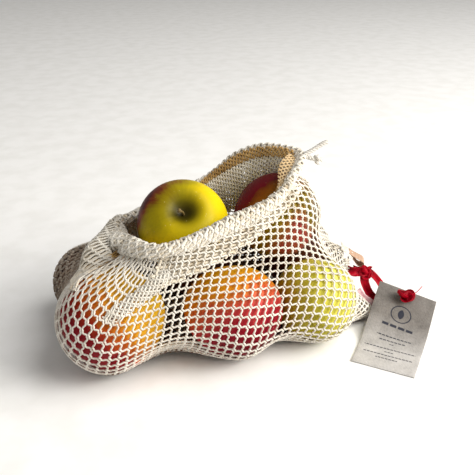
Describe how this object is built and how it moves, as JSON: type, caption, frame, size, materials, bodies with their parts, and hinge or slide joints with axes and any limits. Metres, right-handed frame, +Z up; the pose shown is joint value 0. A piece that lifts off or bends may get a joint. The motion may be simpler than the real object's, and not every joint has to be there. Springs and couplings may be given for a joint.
{
  "type": "reusable produce bag",
  "caption": "Knitted cotton net produce bag full of apples, lying slumped with its mouth open at the top, with a drawcord, a red ribbon and a plain swing tag.",
  "frame": {"origin": "on the ground, under the middle of the whole object's bounding box", "axes": "+X along the bag from its heel to its seamed toe and the tag, +Y towards the back, where the mouth stands up as a hood, +Z up"},
  "size_m": [0.2948, 0.1902, 0.1399],
  "materials": {
    "cotton_net": "undyed knitted cotton net, matte and slightly fuzzy",
    "yellow_apple": "waxy apple skin, yellow with a green hollow and a dark red blush",
    "red_apple": "waxy apple skin, dark red",
    "cotton_cord": "undyed cotton cord",
    "woven_tab": "plain woven tape",
    "red_ribbon": "soft satin ribbon",
    "kraft_card": "uncoated grey-brown card with a simple printed ring and bars"
  },
  "bodies": {
    "root": {"net_bag": "cotton_net", "apple_at_mouth": "yellow_apple", "apple_in_hood": "red_apple", "drawcord": "cotton_cord", "side_tab": "woven_tab", "ribbon": "red_ribbon", "swing_tag": "kraft_card"}
  },
  "joints": []
}
